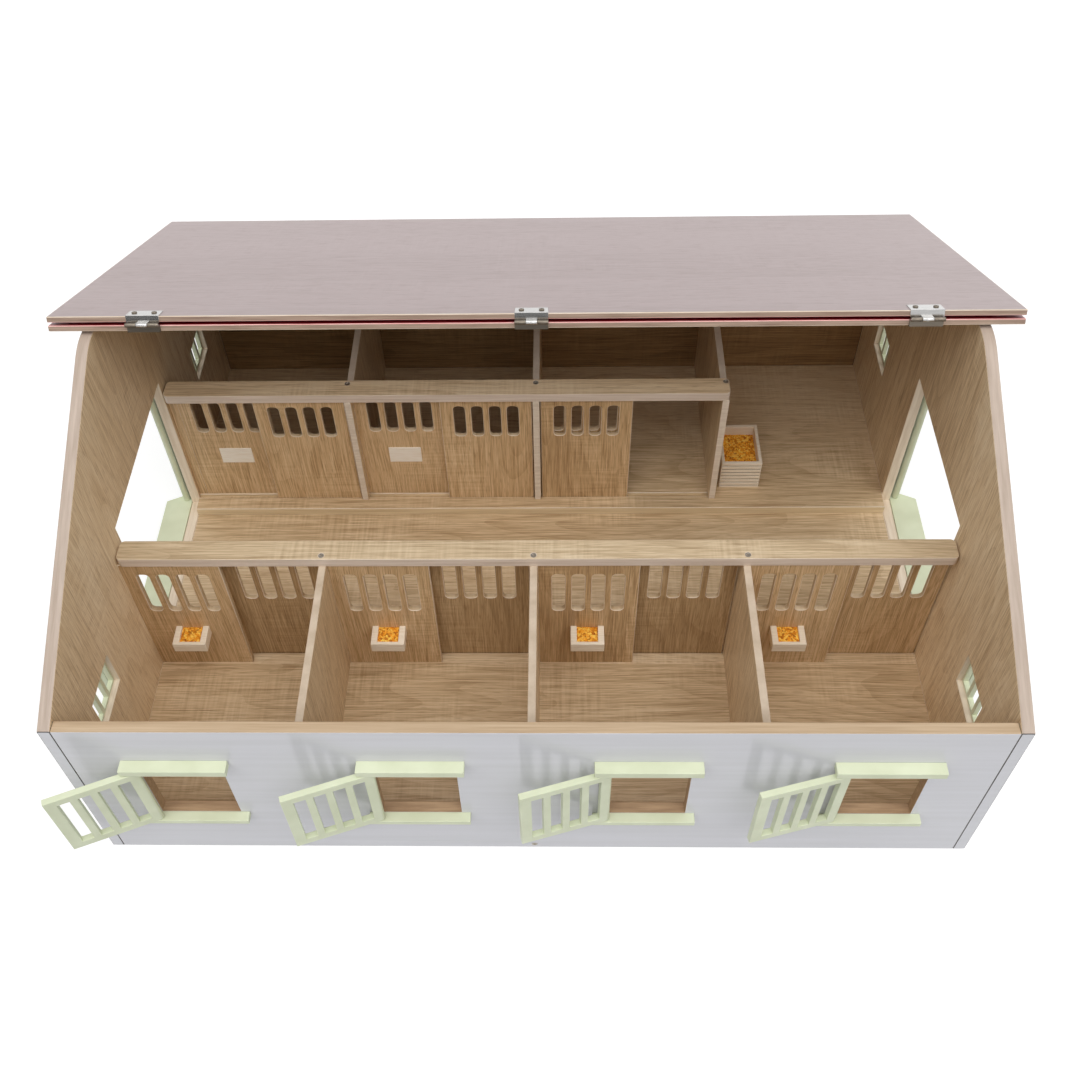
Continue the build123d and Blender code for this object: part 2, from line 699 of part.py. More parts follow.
with BuildPart() as roof_front_panel:
    with BuildSketch(ridge_section.offset(-roof_length / 2)):
        with Locations((hinge_reach, fold_gap / 2)):
            Rectangle(roof_slope, roof_thickness, align=(Align.MIN, Align.MIN))
    extrude(amount=roof_length)
    with BuildSketch(ridge_upward.offset(panel_inner)):
        with Locations(
            *[(x + s * hinge_screw_spread, flange_middle) for x in hinge_xs for s in (-1, 1)]
        ):
            Circle(hinge_screw_radius + screw_fit)
    extrude(amount=-hinge_screw_length, mode=Mode.SUBTRACT)
roof_front_panel.part.label = "roof_front_panel"
export_step(roof_front_panel.part, "parts/roof_front_panel.step")

# Ridge hinges: pressed leaves round each panel's ridge edge, with knuckles on a common pin
side_knuckle = (hinge_length - centre_knuckle) / 2 - knuckle_gap
flange_outer = panel_inner + leaf_metal
leaf_kinds = (
    (
        "hinge_leaves_back",
        -1,
        screw_fit,
        ((-hinge_length / 2, side_knuckle), (hinge_length / 2 - side_knuckle, side_knuckle)),
    ),
    ("hinge_leaves_front", 1, running_clearance, ((-centre_knuckle / 2, centre_knuckle),)),
)
for label, fold_side, pin_clearance, knuckles in leaf_kinds:
    with BuildPart() as hinge_leaves:
        for x in hinge_xs:
            with BuildSketch(ridge_section.offset(x - hinge_length / 2)):
                with Locations((hinge_reach, fold_side * (leaf_slot / 2 + flange_outer) / 2)):
                    Rectangle(
                        leaf_metal, flange_outer - leaf_slot / 2, align=(Align.MAX, Align.CENTER)
                    )
                with Locations((hinge_reach - leaf_metal, fold_side * (panel_inner + leaf_metal / 2))):
                    Rectangle(leaf_metal + flange_width, leaf_metal, align=(Align.MIN, Align.CENTER))
            extrude(amount=hinge_length)
            for start, length in knuckles:
                with BuildSketch(ridge_section.offset(x + start)):
                    Circle(knuckle_radius)
                    with Locations((0, fold_side * knuckle_radius)):
                        Rectangle(
                            hinge_reach,
                            leaf_metal,
                            align=(Align.MIN, Align.MAX if fold_side > 0 else Align.MIN),
                        )
                    Circle(hinge_pin_radius + pin_clearance, mode=Mode.SUBTRACT)
                extrude(amount=length)
        screw_side = ridge_upward if fold_side > 0 else ridge_downward
        with BuildSketch(screw_side.offset(panel_inner)):
            with Locations(
                *[
                    (fold_side * x + s * hinge_screw_spread, flange_middle)
                    for x in hinge_xs
                    for s in (-1, 1)
                ]
            ):
                Circle(hinge_screw_radius + screw_fit)
        extrude(amount=leaf_metal, mode=Mode.SUBTRACT)
    hinge_leaves.part.label = label
    export_step(hinge_leaves.part, f"parts/{label}.step")

with BuildPart() as hinge_pins:
    for x in hinge_xs:
        with BuildSketch(ridge_section.offset(x - hinge_length / 2)):
            Circle(hinge_pin_radius)
        extrude(amount=hinge_length)
hinge_pins.part.label = "hinge_pins"
export_step(hinge_pins.part, "parts/hinge_pins.step")

for label, screw_side, direction in (
    ("hinge_screws_back", ridge_downward, -1),
    ("hinge_screws_front", ridge_upward, 1),
):
    spots = [
        (direction * x + s * hinge_screw_spread, flange_middle) for x in hinge_xs for s in (-1, 1)
    ]
    with BuildPart() as hinge_screws:
        with BuildSketch(screw_side.offset(panel_inner - hinge_screw_length)):
            with Locations(*spots):
                Circle(hinge_screw_radius)
        extrude(amount=hinge_screw_length + leaf_metal)
        with BuildSketch(screw_side.offset(panel_inner + leaf_metal)):
            with Locations(*spots):
                Circle(hinge_screw_head)
        extrude(amount=hinge_screw_head_height)
        head_top = panel_inner + leaf_metal + hinge_screw_head_height
        with BuildSketch(screw_side.offset(head_top)):
            with Locations(*spots):
                Rectangle(2 * hinge_cross_reach, hinge_cross_width)
                Rectangle(hinge_cross_width, 2 * hinge_cross_reach)
        extrude(amount=-hinge_cross_depth, mode=Mode.SUBTRACT)
    hinge_screws.part.label = label
    export_step(hinge_screws.part, f"parts/{label}.step")

# Wood screws that hold the boards together
with BuildPart() as wood_screws:
    add_screws(screw_planes)
    for plane in screw_planes:
        with BuildSketch(plane):
            Rectangle(2 * screw_cross_reach, screw_cross_width)
            Rectangle(screw_cross_width, 2 * screw_cross_reach)
        extrude(amount=-screw_cross_depth, mode=Mode.SUBTRACT)
wood_screws.part.label = "wood_screws"
export_step(wood_screws.part, "parts/wood_screws.step")
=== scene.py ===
import json
from math import cos, pi, radians, sin

import bmesh
import bpy
from mathutils import Matrix, Vector

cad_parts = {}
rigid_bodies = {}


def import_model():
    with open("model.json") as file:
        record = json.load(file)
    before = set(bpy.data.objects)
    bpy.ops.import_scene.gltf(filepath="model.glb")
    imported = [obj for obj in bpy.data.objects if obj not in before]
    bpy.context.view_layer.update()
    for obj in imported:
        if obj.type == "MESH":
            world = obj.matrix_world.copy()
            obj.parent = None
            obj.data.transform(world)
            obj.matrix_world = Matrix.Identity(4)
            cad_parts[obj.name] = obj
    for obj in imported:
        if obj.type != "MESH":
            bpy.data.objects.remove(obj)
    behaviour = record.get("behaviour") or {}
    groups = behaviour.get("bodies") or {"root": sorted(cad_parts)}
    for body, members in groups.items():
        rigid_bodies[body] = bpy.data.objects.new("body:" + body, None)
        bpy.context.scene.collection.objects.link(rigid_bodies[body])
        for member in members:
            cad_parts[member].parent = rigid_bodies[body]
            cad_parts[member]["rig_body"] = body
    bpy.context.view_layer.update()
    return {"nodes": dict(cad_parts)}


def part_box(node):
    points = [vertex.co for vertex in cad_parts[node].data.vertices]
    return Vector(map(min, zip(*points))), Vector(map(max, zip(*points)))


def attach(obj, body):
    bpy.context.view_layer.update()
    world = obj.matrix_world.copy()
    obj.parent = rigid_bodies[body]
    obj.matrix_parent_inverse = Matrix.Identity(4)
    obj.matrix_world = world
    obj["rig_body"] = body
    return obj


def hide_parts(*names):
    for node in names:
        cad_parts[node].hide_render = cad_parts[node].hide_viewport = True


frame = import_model()

# ---------------------------------------------------------------------------------------------
# Studio. The toy stands on a pale floor in a white surround, under two broad soft lights from
# above, with weaker ones from the front and from low behind. Polished metal sees the darker room
# that lies ahead of the toy, up to a white screen at the right.
# ---------------------------------------------------------------------------------------------


def linear(hex_colour):
    """A colour written as sRGB hex, as the linear RGBA that the shaders take."""
    channels = [int(hex_colour[i : i + 2], 16) / 255 for i in (1, 3, 5)]
    return [c / 12.92 if c <= 0.04045 else ((c + 0.055) / 1.055) ** 2.4 for c in channels] + [1.0]


def add_node(tree, kind, inputs=None, **settings):
    """Adds a node with its settings; an input is a value or another node's socket."""
    node = tree.nodes.new(kind)
    for name, value in settings.items():
        setattr(node, name, value)
    for name, value in (inputs or {}).items():
        if isinstance(value, bpy.types.NodeSocket):
            tree.links.new(value, node.inputs[name])
        else:
            node.inputs[name].default_value = value
    return node


def new_material(name):
    """An empty node material and its tree."""
    material = bpy.data.materials.new(name)
    material.use_nodes = True
    material.node_tree.nodes.clear()
    return material, material.node_tree


surround_light = 0.42
room_light = 0.12
lamp_softness = radians(50)
lamp_kinds = (
    ("right_lamp", 1.02, (0.5, -0.33, 0.9)),
    ("left_lamp", 0.88, (-0.5, -0.33, 0.9)),
    ("front_lamp", 0.5, (0.0, -0.66, 0.75)),
    ("back_lamp", 0.45, (0.8, 1.0, 0.15)),
)
floor_reach = 12.0
floor_drop = 0.0003  # below the barn's underside
floor_glow = 0.62

scene = bpy.context.scene
scene.view_settings.view_transform = "Standard"

world = bpy.data.worlds.new("white_surround")
world.use_nodes = True
scene.world = world
sky = world.node_tree
sky.nodes.clear()
ray = add_node(sky, "ShaderNodeLightPath")
place = add_node(sky, "ShaderNodeTexCoord")
heading = add_node(sky, "ShaderNodeSeparateXYZ", {0: place.outputs["Generated"]})
# the dark room fades in where a direction points forwards, and ends at the screen
ahead = add_node(
    sky,
    "ShaderNodeMapRange",
    {"Value": heading.outputs["Y"], "From Min": -0.8, "From Max": -0.4, "To Min": 1.0, "To Max": 0.0},
)
left_of_screen = add_node(
    sky,
    "ShaderNodeMapRange",
    {"Value": heading.outputs["X"], "From Min": 0.1, "From Max": 0.25, "To Min": 1.0, "To Max": 0.0},
)
darkness = add_node(
    sky, "ShaderNodeMath", {0: ahead.outputs[0], 1: left_of_screen.outputs[0]}, operation="MULTIPLY"
)
mirrored = add_node(
    sky, "ShaderNodeMapRange", {"Value": darkness.outputs[0], "To Min": 1.0, "To Max": room_light}
)
glossy_level = add_node(
    sky,
    "ShaderNodeMix",
    {"Factor": ray.outputs["Is Glossy Ray"], "A": surround_light, "B": mirrored.outputs[0]},
)
straight = add_node(
    sky,
    "ShaderNodeMath",
    {0: ray.outputs["Is Camera Ray"], 1: ray.outputs["Is Transmission Ray"]},
    operation="MAXIMUM",
)
level = add_node(
    sky, "ShaderNodeMix", {"Factor": straight.outputs[0], "A": glossy_level.outputs["Result"], "B": 1.0}
)
surround = add_node(
    sky, "ShaderNodeBackground", {"Color": linear("#FFFFFF"), "Strength": level.outputs["Result"]}
)
add_node(sky, "ShaderNodeOutputWorld", {"Surface": surround.outputs[0]})

for lamp_name, strength, towards_lamp in lamp_kinds:
    lamp_data = bpy.data.lights.new(lamp_name, "SUN")
    lamp_data.energy = strength
    lamp_data.angle = lamp_softness
    lamp = bpy.data.objects.new(lamp_name, lamp_data)
    lamp.rotation_euler = Vector(towards_lamp).to_track_quat("Z", "Y").to_euler()
    scene.collection.objects.link(lamp)

# The floor looks white to the eye and to reflections, and still darkens under the toy.
floor_finish, tree = new_material("pale_studio_floor")
ray = add_node(tree, "ShaderNodeLightPath")
seen = add_node(
    tree,
    "ShaderNodeMath",
    {0: ray.outputs["Is Camera Ray"], 1: ray.outputs["Is Glossy Ray"]},
    operation="MAXIMUM",
)
glow = add_node(tree, "ShaderNodeMath", {0: seen.outputs[0], 1: floor_glow}, operation="MULTIPLY")
tone = add_node(
    tree,
    "ShaderNodeMix",
    {"Factor": seen.outputs[0], "A": linear("#A6A6A6"), "B": linear("#BCBCBC")},
    data_type="RGBA",
)
matt = add_node(tree, "ShaderNodeBsdfDiffuse", {"Color": tone.outputs["Result"]})
light = add_node(tree, "ShaderNodeEmission", {"Color": linear("#FFFFFF"), "Strength": glow.outputs[0]})
both = add_node(tree, "ShaderNodeAddShader", {0: matt.outputs[0], 1: light.outputs[0]})
add_node(tree, "ShaderNodeOutputMaterial", {"Surface": both.outputs[0]})
floor_mesh = bpy.data.meshes.new("studio_floor")
corners = [(-floor_reach, -floor_reach), (floor_reach, -floor_reach), (floor_reach, floor_reach)]
corners.append((-floor_reach, floor_reach))
floor_mesh.from_pydata([(x, y, -floor_drop) for x, y in corners], [], [(0, 1, 2, 3)])
floor = bpy.data.objects.new("studio_floor", floor_mesh)
scene.collection.objects.link(floor)
floor_mesh.materials.append(floor_finish)

# The view from above the front wall, a little turned and rolled.
camera_place = Vector((0.01916, -0.67359, 0.90346))
camera_heading = radians(2.515)
camera_dip = radians(51.22)
camera_roll = radians(-2.114)
camera_data = bpy.data.cameras.new("camera")
camera_data.sensor_width = 36.0
camera_data.lens = 40.453
camera_data.shift_x = 0.0075
camera = bpy.data.objects.new("camera", camera_data)
camera.matrix_world = (
    Matrix.Translation(camera_place)
    @ Matrix.Rotation(camera_heading, 4, "Z")
    @ Matrix.Rotation(pi / 2 - camera_dip, 4, "X")
    @ Matrix.Rotation(camera_roll, 4, "Z")
)
scene.collection.objects.link(camera)
scene.camera = camera

# ---------------------------------------------------------------------------------------------
# House shell. Two gables, a front and a back wall of 9 mm particle board, faced with a smooth
# light grey foil outside and a printed oak decor inside, their sawn edges closed with a thin
# beige edging. The arrises are taken off with a scraper; screws hold the boards together.
# ---------------------------------------------------------------------------------------------

AXES = {"X": 0, "Y": 1, "Z": 2}
figure_jump = 9.0  # metres between two planks' places in the wood, so that no figure repeats
sway_reach = 0.008
ring_turns = 26.0


def oak_decor(name, grain, across, pale, middle, dark, plank=0.1, plank_start=0.0, figure_depth=1.0):
    """Printed oak decor on board: planks side by side, each with growth rings drawn out along the
    grain, fine fibres, short dark pores and patches of saw marks, under a satin resin skin. The
    fibres and the pores are about twice as coarse as real ones, so that they show."""
    material, tree = new_material(name)
    place = add_node(tree, "ShaderNodeTexCoord")
    parts = add_node(tree, "ShaderNodeSeparateXYZ", {0: place.outputs["Object"]})
    along = parts.outputs[AXES[grain]]
    side = parts.outputs[AXES[across]]
    depth = parts.outputs[3 - AXES[grain] - AXES[across]]
    # plank number, and a tone and a shift of the figure for each plank
    shifted = add_node(tree, "ShaderNodeMath", {0: side, 1: plank_start}, operation="SUBTRACT")
    counted = add_node(tree, "ShaderNodeMath", {0: shifted.outputs[0], 1: plank}, operation="DIVIDE")
    number = add_node(tree, "ShaderNodeMath", {0: counted.outputs[0]}, operation="FLOOR")
    draw = add_node(tree, "ShaderNodeTexWhiteNoise", {"W": number.outputs[0]}, noise_dimensions="1D")
    jump = add_node(tree, "ShaderNodeMath", {0: draw.outputs["Value"], 1: figure_jump}, operation="MULTIPLY")
    deeper = add_node(tree, "ShaderNodeMath", {0: depth, 1: jump.outputs[0]}, operation="ADD")
    straight_grain = add_node(tree, "ShaderNodeCombineXYZ", {0: along, 1: side, 2: deeper.outputs[0]})
    # the grain sways by a few millimetres over the length of a hand
    sway_place = add_node(
        tree, "ShaderNodeMapping", {"Vector": straight_grain.outputs[0], "Scale": (5.0, 12.0, 1.0)}
    )
    sway = add_node(
        tree, "ShaderNodeTexNoise", {"Vector": sway_place.outputs[0], "Scale": 1.0, "Detail": 1.0}
    )
    swayed = add_node(
        tree, "ShaderNodeMath", {0: sway.outputs[0], 1: sway_reach, 2: side}, operation="MULTIPLY_ADD"
    )
    figure = add_node(
        tree, "ShaderNodeCombineXYZ", {0: along, 1: swayed.outputs[0], 2: deeper.outputs[0]}
    )
    # growth rings 3 to 10 mm apart: contour lines of a slow field, each with a darker late edge
    field_place = add_node(
        tree, "ShaderNodeMapping", {"Vector": figure.outputs[0], "Scale": (1.7, 10.0, 1.0)}
    )
    field = add_node(
        tree,
        "ShaderNodeTexNoise",
        {"Vector": field_place.outputs[0], "Scale": 1.0, "Detail": 2.0, "Roughness": 0.4},
    )
    turns = add_node(tree, "ShaderNodeMath", {0: field.outputs[0], 1: ring_turns}, operation="MULTIPLY")
    ring = add_node(tree, "ShaderNodeMath", {0: turns.outputs[0]}, operation="FRACT")
    late_wood = add_node(
        tree, "ShaderNodeMapRange", {"Value": ring.outputs[0], "From Min": 0.45, "From Max": 0.95}
    )
    # fibres 0.9 mm across the grain and 50 mm long
    fibre_place = add_node(
        tree, "ShaderNodeMapping", {"Vector": figure.outputs[0], "Scale": (20.0, 1100.0, 1.0)}
    )
    fibres = add_node(
        tree,
        "ShaderNodeTexNoise",
        {"Vector": fibre_place.outputs[0], "Scale": 1.0, "Detail": 2.0, "Roughness": 0.6},
    )
    # slow change of tone, 150 mm across
    cloud_place = add_node(
        tree, "ShaderNodeMapping", {"Vector": figure.outputs[0], "Scale": (2.0, 7.0, 1.0)}
    )
    clouds = add_node(
        tree, "ShaderNodeTexNoise", {"Vector": cloud_place.outputs[0], "Scale": 1.0, "Detail": 1.0}
    )
    # rough-sawn patches: faint saw marks across the grain, about 5 mm apart
    saw_place = add_node(
        tree, "ShaderNodeMapping", {"Vector": straight_grain.outputs[0], "Scale": (380.0, 22.0, 1.0)}
    )
    saw = add_node(
        tree, "ShaderNodeTexNoise", {"Vector": saw_place.outputs[0], "Scale": 1.0, "Detail": 1.0}
    )
    patch_place = add_node(
        tree, "ShaderNodeMapping", {"Vector": straight_grain.outputs[0], "Scale": (11.0, 17.0, 1.0)}
    )
    patch_field = add_node(
        tree, "ShaderNodeTexNoise", {"Vector": patch_place.outputs[0], "Scale": 1.0, "Detail": 1.0}
    )
    patches = add_node(
        tree, "ShaderNodeMapRange", {"Value": patch_field.outputs[0], "From Min": 0.47, "From Max": 0.62}
    )
    saw_marks = add_node(
        tree, "ShaderNodeMath", {0: saw.outputs[0], 1: patches.outputs[0]}, operation="MULTIPLY"
    )
    # pores 0.8 mm wide and 12 mm long
    pore_place = add_node(
        tree, "ShaderNodeMapping", {"Vector": figure.outputs[0], "Scale": (80.0, 1250.0, 1.0)}
    )
    pore_field = add_node(
        tree,
        "ShaderNodeTexNoise",
        {"Vector": pore_place.outputs[0], "Scale": 1.0, "Detail": 1.0, "Roughness": 0.5},
    )
    pores = add_node(
        tree, "ShaderNodeMapRange", {"Value": pore_field.outputs[0], "From Min": 0.56, "From Max": 0.7}
    )
    # sum of the parts, about 0.5 in the middle of the range
    tone = add_node(
        tree, "ShaderNodeMath", {0: clouds.outputs[0], 1: 0.5, 2: -0.5}, operation="MULTIPLY_ADD"
    )
    for part, weight in (
        (fibres.outputs[0], 1.4),
        (late_wood.outputs[0], -0.13),
        (patches.outputs[0], 0.3),
        (saw_marks.outputs[0], -0.5),
        (draw.outputs["Value"], 0.18),
    ):
        tone = add_node(
            tree, "ShaderNodeMath", {0: part, 1: weight, 2: tone.outputs[0]}, operation="MULTIPLY_ADD"
        )
    # a plainer decor keeps closer to the middle tone
    tone = add_node(
        tree,
        "ShaderNodeMapRange",
        {"Value": tone.outputs[0], "To Min": 0.5 - figure_depth / 2, "To Max": 0.5 + figure_depth / 2},
        clamp=False,
    )
    ramp = add_node(tree, "ShaderNodeValToRGB", {"Fac": tone.outputs[0]})
    ramp.color_ramp.elements[0].position = 0.05
    ramp.color_ramp.elements[0].color = linear(dark)
    ramp.color_ramp.elements[1].position = 0.95
    ramp.color_ramp.elements[1].color = linear(pale)
    ramp.color_ramp.elements.new(0.5).color = linear(middle)
    pore_share = add_node(
        tree, "ShaderNodeMath", {0: pores.outputs[0], 1: 0.45 * figure_depth}, operation="MULTIPLY"
    )
    colour = add_node(
        tree,
        "ShaderNodeMix",
        {"Factor": pore_share.outputs[0], "A": ramp.outputs["Color"], "B": linear(dark)},
        data_type="RGBA",
    )
    gloss = add_node(
        tree, "ShaderNodeMapRange", {"Value": pores.outputs[0], "To Min": 0.4, "To Max": 0.55}
    )
    relief = add_node(
        tree,
        "ShaderNodeBump",
        {"Height": pores.outputs[0], "Strength": 0.35, "Distance": 0.0001},
        invert=True,
    )
    skin = add_node(
        tree,
        "ShaderNodeBsdfPrincipled",
        {
            "Base Color": colour.outputs["Result"],
            "Roughness": gloss.outputs[0],
            "IOR": 1.5,
            "Normal": relief.outputs[0],
        },
    )
    add_node(tree, "ShaderNodeOutputMaterial", {"Surface": skin.outputs[0]})
    return material


# light oak of the house: honey beige with browner rings
oak_tones = ("#F0DBBB", "#D8BD97", "#A58660")
# painted light: the gables' inner oak is painted paler than the house's oak, making up for the light their
# inner faces lack
gable_oak = oak_decor(
    "oak_decor_gable", "Z", "Y", "#FBE8C9", "#E4CAA4", "#B0906A", plank=0.15, plank_start=-0.188
)
# painted shade: the walls' inner oak is painted much darker than the gables', for the deep shade at the back
# of the stalls
wall_oak = oak_decor("oak_decor_wall", "X", "Z", "#B8966C", "#95744C", "#634628", plank=0.11)


def grey_foil(name):
    """Light grey melamine foil: even and smooth, so that near things mirror softly in it; the
    foil shows a trace of lengthwise streaks and the slight waves of the board below."""
    material, tree = new_material(name)
    place = add_node(tree, "ShaderNodeTexCoord")
    stretched = add_node(
        tree, "ShaderNodeMapping", {"Vector": place.outputs["Object"], "Scale": (6.0, 160.0, 160.0)}
    )
    streaks = add_node(
        tree, "ShaderNodeTexNoise", {"Vector": stretched.outputs[0], "Scale": 1.0, "Detail": 3.0}
    )
    colour = add_node(tree, "ShaderNodeValToRGB", {"Fac": streaks.outputs[0]})
    colour.color_ramp.elements[0].position = 0.3
    colour.color_ramp.elements[0].color = linear("#D6D6DB")
    colour.color_ramp.elements[1].position = 0.7
    colour.color_ramp.elements[1].color = linear("#DCDCE2")
    waves = add_node(
        tree, "ShaderNodeTexNoise", {"Vector": place.outputs["Object"], "Scale": 90.0, "Detail": 1.0}
    )
    relief = add_node(
        tree, "ShaderNodeBump", {"Height": waves.outputs[0], "Strength": 0.12, "Distance": 0.0004}
    )
    skin = add_node(
        tree,
        "ShaderNodeBsdfPrincipled",
        {
            "Base Color": colour.outputs["Color"],
            "Roughness": 0.16,
            "IOR": 1.5,
            "Normal": relief.outputs[0],
        },
    )
    add_node(tree, "ShaderNodeOutputMaterial", {"Surface": skin.outputs[0]})
    return material


def edge_band(name, pale, dark, streak_scale):
    """Thin edging glued over the sawn core: beige, matt, with fine lines along the board."""
    material, tree = new_material(name)
    place = add_node(tree, "ShaderNodeTexCoord")
    stretched = add_node(
        tree, "ShaderNodeMapping", {"Vector": place.outputs["Object"], "Scale": streak_scale}
    )
    lines = add_node(
        tree,
        "ShaderNodeTexNoise",
        {"Vector": stretched.outputs[0], "Scale": 1.0, "Detail": 4.0, "Roughness": 0.6},
    )
    colour = add_node(tree, "ShaderNodeValToRGB", {"Fac": lines.outputs[0]})
    colour.color_ramp.elements[0].position = 0.32
    colour.color_ramp.elements[0].color = linear(dark)
    colour.color_ramp.elements[1].position = 0.68
    colour.color_ramp.elements[1].color = linear(pale)
    skin = add_node(
        tree,
        "ShaderNodeBsdfPrincipled",
        {"Base Color": colour.outputs["Color"], "Roughness": 0.5, "IOR": 1.5},
    )
    add_node(tree, "ShaderNodeOutputMaterial", {"Surface": skin.outputs[0]})
    return material


shell_grey = grey_foil("light_grey_foil")
shell_edge = edge_band("pinkish_beige_edging", "#C6B4A5", "#B09D8D", (300.0, 20.0, 20.0))
gable_reveal = edge_band("cream_gable_reveal", "#F4E5D0", "#DFCCB3", (300.0, 20.0, 20.0))
wall_top_edge = edge_band("oak_edging", "#CDB495", "#B69B7B", (14.0, 500.0, 500.0))
window_reveal = edge_band("brown_window_reveal", "#B99A78", "#98795A", (30.0, 300.0, 300.0))
# painted shade: the arrises where two boards meet are painted dark grey-brown, standing in for the shade in
# the seam
painted_seam_shade = edge_band("seam_painted_shade", "#5B5650", "#3E3A36", (20.0, 20.0, 60.0))


weld_distance = 2e-6
crease = radians(28)  # a flatter edge than this lies on a curved face and isn't eased
hard_edge = radians(50)
same_facing = 0.9998  # cosine between a flat face and its own direction
squarely_facing = 0.985
partly_facing = 0.6
touching_arris = 0.2


def finish_for(face, rules, least):
    """The finish of the rule whose direction the face looks in best. A rule may also name how far
    out the face has to lie."""
    chosen = None
    for direction, finish, *reach in rules:
        outward = Vector(direction).normalized()
        facing = face.normal.dot(outward)
        if facing > least and (not reach or face.calc_center_median().dot(outward) > reach[0]):
            least, chosen = facing, finish
    return chosen


def eased_copy(node, easing, finishes, edge_finish, arrises=(), segments=2):
    """A frame part with its outer arrises eased, as sanding leaves them. A flat face takes the
    finish of its direction, an arris its own or its neighbour's, and all else the edge finish."""
    solid = bmesh.new()
    solid.from_mesh(frame["nodes"][node].data)
    bmesh.ops.remove_doubles(solid, verts=solid.verts, dist=weld_distance)
    bmesh.ops.dissolve_limit(solid, angle_limit=radians(0.4), verts=solid.verts, edges=solid.edges)
    solid.normal_update()
    flat_ways = {
        tuple(round(c, 4) for c in face.normal)
        for face in solid.faces
        if not any(radians(1) < e.calc_face_angle(0.0) < crease for e in face.edges)
    }
    sharp = [e for e in solid.edges if e.is_manifold and e.is_convex and e.calc_face_angle() > crease]
    bmesh.ops.bevel(
        solid, geom=sharp, offset=easing, offset_type="OFFSET", segments=segments, profile=0.5, affect="EDGES"
    )
    materials = [edge_finish]
    solid.normal_update()
    for face in solid.faces:
        chosen = (
            finish_for(face, finishes, squarely_facing)
            or finish_for(face, arrises, touching_arris)
            or finish_for(face, finishes, partly_facing)
            or edge_finish
        )
        if chosen not in materials:
            materials.append(chosen)
        face.material_index = materials.index(chosen)
        face.smooth = not any(face.normal.dot(Vector(way)) > same_facing for way in flat_ways)
    for edge in solid.edges:
        edge.smooth = edge.calc_face_angle(0.0) < hard_edge
    mesh = bpy.data.meshes.new(f"{node}_eased")
    solid.to_mesh(mesh)
    solid.free()
    for finish in materials:
        mesh.materials.append(finish)
    piece = bpy.data.objects.new(f"{node}_eased", mesh)
    scene.collection.objects.link(piece)
    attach(piece, frame["nodes"][node]["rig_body"])
    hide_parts(node)
    return piece


board_easing = 0.0005
slope_reach = 0.2  # the sloping tops, not the reveals of the openings
corner_reach = -0.06  # the gables' inner front and rear corners only
front_face = 0.26  # only the gables' outer ends are faced with foil, not the openings in them
wall_end = 0.32
wall_top = 0.15
for side_name, side in (("left", -1), ("right", 1)):
    eased_copy(
        f"gable_{side_name}",
        board_easing,
        [
            ((side, 0, 0), shell_grey),
            ((-side, 0, 0), gable_oak),
            ((0, -1, 0), shell_grey, front_face),
            ((0, 1, 0), shell_grey, front_face),
            ((0, -0.41, 0.91), shell_edge, slope_reach),
            ((0, 0.41, 0.91), shell_edge, slope_reach),
        ],
        gable_reveal,
        # painted shade on the seams at the gables' inner front and rear corners
        [((-side, -1, 0), painted_seam_shade, corner_reach), ((-side, 1, 0), painted_seam_shade, corner_reach)],
    )
for node, outward in (("front_wall", -1), ("back_wall", 1)):
    eased_copy(
        node,
        board_easing,
        [
            ((0, outward, 0), shell_grey),
            ((0, -outward, 0), wall_oak),
            ((0, 0, 1), wall_top_edge, wall_top),
        ],
        window_reveal,
        # painted shade on the seams at the walls' ends
        [((-1, 0, 0), painted_seam_shade, wall_end), ((1, 0, 0), painted_seam_shade, wall_end)],
    )

# ---------------------------------------------------------------------------------------------
# Floors and beams. The base board closes the shell below; a raised floor carries the back row.
# A beam lies over each row's fronts. All are oak decor with the grain along the barn, and have
# grooves that the sliding doors run in.
# ---------------------------------------------------------------------------------------------

floor_oak = oak_decor("oak_decor_floor", "X", "Y", *oak_tones, plank=0.13, plank_start=-0.105)
beam_oak = oak_decor("oak_decor_beam", "X", "Y", "#E9D7B9", "#D2BB99", "#A68D6B", plank=0.13)
# painted light: the back beam's oak is painted paler than the front beam's, making up for the light the
# folded roof keeps off it
back_beam_oak = oak_decor("oak_decor_back_beam_painted_light", "X", "Y", "#FBE8C9", "#E6CCA6", "#B4946C", plank=0.13)
beam_edge = edge_band("pinkish_beige_beam_edging", "#E8D8C9", "#D2BFAD", (14.0, 500.0, 500.0))
floor_edge = edge_band("honey_floor_edging", "#EAD5B0", "#D2BA92", (14.0, 500.0, 500.0))
# painted highlight: pale cream on the arrises of the oak faces, standing in for the light the edges catch
painted_arris_highlight = edge_band("painted_arris_highlight", "#EEDFCC", "#DCC8B0", (30.0, 300.0, 300.0))
beam_easing = 0.0003
for node, oak, edging, easing in (
    ("base_board", floor_oak, floor_edge, board_easing),
    ("raised_floor", floor_oak, floor_edge, board_easing),
    ("front_beam", beam_oak, beam_edge, beam_easing),
    ("back_beam", back_beam_oak, beam_edge, beam_easing),
):
    eased_copy(
        node,
        easing,
        [((0, 0, 1), oak), ((0, 0, -1), oak)],
        edging,
        [((0, 0, 1), painted_arris_highlight), ((0, 0, -1), painted_arris_highlight)],
    )

# ---------------------------------------------------------------------------------------------
# Stall walls. Six partitions of 6 mm board with upright grain, glued and screwed to the floors
# and the beams, their front edges closed with an edging, cream in the back row and beige in front.
# ---------------------------------------------------------------------------------------------

partition_oak = oak_decor("oak_decor_partition", "Z", "Y", *oak_tones, plank=0.17)
beige_edging = edge_band("beige_edging", "#D6C4AE", "#C0AC94", (60.0, 60.0, 500.0))
cream_edging = edge_band("cream_edging", "#EBDDCB", "#D8C7B3", (60.0, 60.0, 500.0))
for row, edging in (("front", beige_edging), ("back", cream_edging)):
    for number in (1, 2, 3):
        eased_copy(
            f"{row}_partition_{number}",
            board_easing,
            [((1, 0, 0), partition_oak), ((-1, 0, 0), partition_oak)],
            edging,
        )
